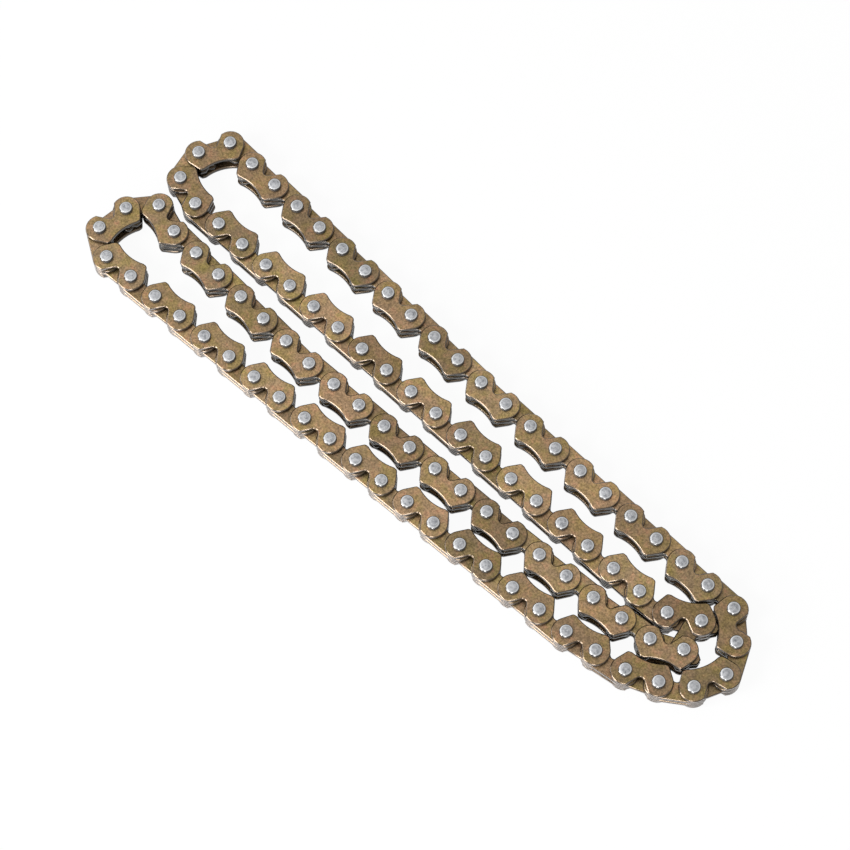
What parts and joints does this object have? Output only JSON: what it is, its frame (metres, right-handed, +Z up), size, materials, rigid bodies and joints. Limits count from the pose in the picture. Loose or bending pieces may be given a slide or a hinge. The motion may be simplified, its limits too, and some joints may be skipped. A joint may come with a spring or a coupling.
{
  "type": "timing chain",
  "caption": "Closed inverted-tooth timing chain folded flat into parallel strands: stamped toothed plates and guide plates on riveted pins.",
  "frame": {"origin": "centre of the folded chain's outline, on the plane of the lower pin ends", "axes": "+X along the strands towards the loop with the back bend, +Y across the strands, +Z up along the pins"},
  "size_m": [0.1514, 0.0388, 0.0057],
  "materials": {
    "plates": "satin, tempered to a bronze colour",
    "pins": "polished"
  },
  "bodies": {
    "strand1_right": {"strand1_right_plates": "plates", "strand1_right_pins": "pins"},
    "strand1_middle": {"strand1_middle_plates": "plates", "strand1_middle_pins": "pins"},
    "left_loop_upper": {"left_loop_upper_plates": "plates", "left_loop_upper_pins": "pins"},
    "strand2_middle": {"strand2_middle_plates": "plates", "strand2_middle_pins": "pins"},
    "strand2_right": {"strand2_right_plates": "plates", "strand2_right_pins": "pins"},
    "right_loop_outer": {"right_loop_outer_plates": "plates", "right_loop_outer_pins": "pins"},
    "right_loop_inner": {"right_loop_inner_plates": "plates", "right_loop_inner_pins": "pins"},
    "strand4_right": {"strand4_right_plates": "plates", "strand4_right_pins": "pins"},
    "strand4_middle": {"strand4_middle_plates": "plates", "strand4_middle_pins": "pins"},
    "left_loop_lower": {"left_loop_lower_plates": "plates", "left_loop_lower_pins": "pins"},
    "strand3_middle": {"strand3_middle_plates": "plates", "strand3_middle_pins": "pins"},
    "strand3_right": {"strand3_right_plates": "plates", "strand3_right_pins": "pins"},
    "link_5": {"link_5_plates": "plates"},
    "link_6": {"link_6_plates": "plates", "link_6_pins": "pins"},
    "link_7": {"link_7_plates": "plates"},
    "link_13": {"link_13_plates": "plates"},
    "link_14": {"link_14_plates": "plates", "link_14_pins": "pins"},
    "link_15": {"link_15_plates": "plates"},
    "link_33": {"link_33_plates": "plates"},
    "link_34": {"link_34_plates": "plates", "link_34_pins": "pins"},
    "link_35": {"link_35_plates": "plates"},
    "link_41": {"link_41_plates": "plates"},
    "link_42": {"link_42_plates": "plates", "link_42_pins": "pins"},
    "link_43": {"link_43_plates": "plates"},
    "link_53": {"link_53_plates": "plates"},
    "link_54": {"link_54_plates": "plates", "link_54_pins": "pins"},
    "link_55": {"link_55_plates": "plates"},
    "link_61": {"link_61_plates": "plates"},
    "link_62": {"link_62_plates": "plates", "link_62_pins": "pins"},
    "link_63": {"link_63_plates": "plates"},
    "link_77": {"link_77_plates": "plates"},
    "link_78": {"link_78_plates": "plates", "link_78_pins": "pins"},
    "link_79": {"link_79_plates": "plates"},
    "link_85": {"link_85_plates": "plates"},
    "link_86": {"link_86_plates": "plates", "link_86_pins": "pins"},
    "link_87": {"link_87_plates": "plates"}
  },
  "joints": [
    {"name": "pivot_16", "type": "hinge", "parent": "strand1_right", "child": "link_15", "pos_m": [0.02768, 0.01273, 0.00286], "axis": [0, 0, -1], "range_deg": [0, 10]},
    {"name": "pivot_15", "type": "hinge", "parent": "link_15", "child": "link_14", "pos_m": [0.02134, 0.01284, 0.00286], "axis": [0, 0, -1], "range_deg": [0, 10]},
    {"name": "pivot_14", "type": "hinge", "parent": "link_14", "child": "link_13", "pos_m": [0.01499, 0.01295, 0.00286], "axis": [0, 0, -1], "range_deg": [-10, 0]},
    {"name": "pivot_13", "type": "hinge", "parent": "link_13", "child": "strand1_middle", "pos_m": [0.00864, 0.01306, 0.00286], "axis": [0, 0, -1], "range_deg": [-10, 0]},
    {"name": "pivot_8", "type": "hinge", "parent": "strand1_middle", "child": "link_7", "pos_m": [-0.02308, 0.0145, 0.00286], "axis": [0, 0, -1], "range_deg": [0, 10]},
    {"name": "pivot_7", "type": "hinge", "parent": "link_7", "child": "link_6", "pos_m": [-0.02942, 0.01483, 0.00286], "axis": [0, 0, -1], "range_deg": [0, 10]},
    {"name": "pivot_6", "type": "hinge", "parent": "link_6", "child": "link_5", "pos_m": [-0.03576, 0.01513, 0.00286], "axis": [0, 0, -1], "range_deg": [-10, 0]},
    {"name": "pivot_5", "type": "hinge", "parent": "link_5", "child": "left_loop_upper", "pos_m": [-0.0421, 0.01543, 0.00286], "axis": [0, 0, -1], "range_deg": [-10, 0]},
    {"name": "pivot_88", "type": "hinge", "parent": "left_loop_upper", "child": "link_87", "pos_m": [-0.03775, 0.00286, 0.00286], "axis": [0, 0, -1], "range_deg": [0, 10]},
    {"name": "pivot_87", "type": "hinge", "parent": "link_87", "child": "link_86", "pos_m": [-0.0314, 0.00286, 0.00286], "axis": [0, 0, -1], "range_deg": [0, 10]},
    {"name": "pivot_86", "type": "hinge", "parent": "link_86", "child": "link_85", "pos_m": [-0.02505, 0.00286, 0.00286], "axis": [0, 0, -1], "range_deg": [-10, 0]},
    {"name": "pivot_85", "type": "hinge", "parent": "link_85", "child": "strand2_middle", "pos_m": [-0.0187, 0.00286, 0.00286], "axis": [0, 0, -1], "range_deg": [-10, 0]},
    {"name": "pivot_80", "type": "hinge", "parent": "strand2_middle", "child": "link_79", "pos_m": [0.01305, 0.00286, 0.00286], "axis": [0, 0, -1], "range_deg": [0, 10]},
    {"name": "pivot_79", "type": "hinge", "parent": "link_79", "child": "link_78", "pos_m": [0.0194, 0.00286, 0.00286], "axis": [0, 0, -1], "range_deg": [0, 10]},
    {"name": "pivot_78", "type": "hinge", "parent": "link_78", "child": "link_77", "pos_m": [0.02575, 0.00286, 0.00286], "axis": [0, 0, -1], "range_deg": [-10, 0]},
    {"name": "pivot_77", "type": "hinge", "parent": "link_77", "child": "strand2_right", "pos_m": [0.0321, 0.00286, 0.00286], "axis": [0, 0, -1], "range_deg": [-10, 0]},
    {"name": "pivot_22", "type": "hinge", "parent": "strand1_right", "child": "right_loop_outer", "pos_m": [0.06578, 0.01206, 0.00286], "axis": [0, 0, 1], "range_deg": [0, 8]},
    {"name": "pivot_24", "type": "hinge", "parent": "right_loop_outer", "child": "right_loop_inner", "pos_m": [0.07299, 0.00185, 0.00286], "axis": [0, 0, 1], "range_deg": [-8, 0]},
    {"name": "pivot_25", "type": "hinge", "parent": "right_loop_inner", "child": "strand4_right", "pos_m": [0.07026, -0.00388, 0.00286], "axis": [0, 0, 1], "range_deg": [0, 8]},
    {"name": "pivot_33", "type": "hinge", "parent": "strand4_right", "child": "link_33", "pos_m": [0.02122, -0.0129, 0.00286], "axis": [0, 0, 1], "range_deg": [0, 10]},
    {"name": "pivot_34", "type": "hinge", "parent": "link_33", "child": "link_34", "pos_m": [0.01487, -0.01317, 0.00286], "axis": [0, 0, 1], "range_deg": [0, 10]},
    {"name": "pivot_35", "type": "hinge", "parent": "link_34", "child": "link_35", "pos_m": [0.00853, -0.01343, 0.00286], "axis": [0, 0, 1], "range_deg": [-10, 0]},
    {"name": "pivot_36", "type": "hinge", "parent": "link_35", "child": "strand4_middle", "pos_m": [0.00218, -0.0137, 0.00286], "axis": [0, 0, 1], "range_deg": [-10, 0]},
    {"name": "pivot_41", "type": "hinge", "parent": "strand4_middle", "child": "link_41", "pos_m": [-0.02954, -0.01503, 0.00286], "axis": [0, 0, 1], "range_deg": [0, 6]},
    {"name": "pivot_42", "type": "hinge", "parent": "link_41", "child": "link_42", "pos_m": [-0.03588, -0.0153, 0.00286], "axis": [0, 0, 1], "range_deg": [0, 6]},
    {"name": "pivot_43", "type": "hinge", "parent": "link_42", "child": "link_43", "pos_m": [-0.04223, -0.01556, 0.00286], "axis": [0, 0, 1], "range_deg": [-6, 0]},
    {"name": "pivot_44", "type": "hinge", "parent": "link_43", "child": "left_loop_lower", "pos_m": [-0.04857, -0.01583, 0.00286], "axis": [0, 0, 1], "range_deg": [-6, 0]},
    {"name": "pivot_53", "type": "hinge", "parent": "left_loop_lower", "child": "link_53", "pos_m": [-0.04928, -0.00474, 0.00286], "axis": [0, 0, 1], "range_deg": [0, 6]},
    {"name": "pivot_54", "type": "hinge", "parent": "link_53", "child": "link_54", "pos_m": [-0.04294, -0.00507, 0.00286], "axis": [0, 0, 1], "range_deg": [0, 6]},
    {"name": "pivot_55", "type": "hinge", "parent": "link_54", "child": "link_55", "pos_m": [-0.0366, -0.00541, 0.00286], "axis": [0, 0, 1], "range_deg": [-6, 0]},
    {"name": "pivot_56", "type": "hinge", "parent": "link_55", "child": "strand3_middle", "pos_m": [-0.03026, -0.00574, 0.00286], "axis": [0, 0, 1], "range_deg": [-6, 0]},
    {"name": "pivot_61", "type": "hinge", "parent": "strand3_middle", "child": "link_61", "pos_m": [0.00148, -0.00541, 0.00286], "axis": [0, 0, 1], "range_deg": [0, 10]},
    {"name": "pivot_62", "type": "hinge", "parent": "link_61", "child": "link_62", "pos_m": [0.00782, -0.00524, 0.00286], "axis": [0, 0, 1], "range_deg": [0, 10]},
    {"name": "pivot_63", "type": "hinge", "parent": "link_62", "child": "link_63", "pos_m": [0.01417, -0.00507, 0.00286], "axis": [0, 0, 1], "range_deg": [-10, 0]},
    {"name": "pivot_64", "type": "hinge", "parent": "link_63", "child": "strand3_right", "pos_m": [0.02052, -0.00491, 0.00286], "axis": [0, 0, 1], "range_deg": [-10, 0]}
  ],
  "couplings": [
    {"joint": "pivot_15", "follows": "pivot_16", "ratio": 1},
    {"joint": "pivot_14", "follows": "pivot_16", "ratio": -1},
    {"joint": "pivot_13", "follows": "pivot_16", "ratio": -1},
    {"joint": "pivot_7", "follows": "pivot_8", "ratio": 1},
    {"joint": "pivot_6", "follows": "pivot_8", "ratio": -1},
    {"joint": "pivot_5", "follows": "pivot_8", "ratio": -1},
    {"joint": "pivot_88", "follows": "pivot_8", "ratio": 1},
    {"joint": "pivot_87", "follows": "pivot_8", "ratio": 1},
    {"joint": "pivot_86", "follows": "pivot_8", "ratio": -1},
    {"joint": "pivot_85", "follows": "pivot_8", "ratio": -1},
    {"joint": "pivot_80", "follows": "pivot_16", "ratio": 1},
    {"joint": "pivot_79", "follows": "pivot_16", "ratio": 1},
    {"joint": "pivot_78", "follows": "pivot_16", "ratio": -1},
    {"joint": "pivot_77", "follows": "pivot_16", "ratio": -1},
    {"joint": "pivot_24", "follows": "pivot_22", "ratio": -1},
    {"joint": "pivot_25", "follows": "pivot_22", "ratio": 1},
    {"joint": "pivot_34", "follows": "pivot_33", "ratio": 1},
    {"joint": "pivot_35", "follows": "pivot_33", "ratio": -1},
    {"joint": "pivot_36", "follows": "pivot_33", "ratio": -1},
    {"joint": "pivot_42", "follows": "pivot_41", "ratio": 1},
    {"joint": "pivot_43", "follows": "pivot_41", "ratio": -1},
    {"joint": "pivot_44", "follows": "pivot_41", "ratio": -1},
    {"joint": "pivot_53", "follows": "pivot_41", "ratio": 1},
    {"joint": "pivot_54", "follows": "pivot_41", "ratio": 1},
    {"joint": "pivot_55", "follows": "pivot_41", "ratio": -1},
    {"joint": "pivot_56", "follows": "pivot_41", "ratio": -1},
    {"joint": "pivot_61", "follows": "pivot_33", "ratio": 1},
    {"joint": "pivot_62", "follows": "pivot_33", "ratio": 1},
    {"joint": "pivot_63", "follows": "pivot_33", "ratio": -1},
    {"joint": "pivot_64", "follows": "pivot_33", "ratio": -1}
  ]
}
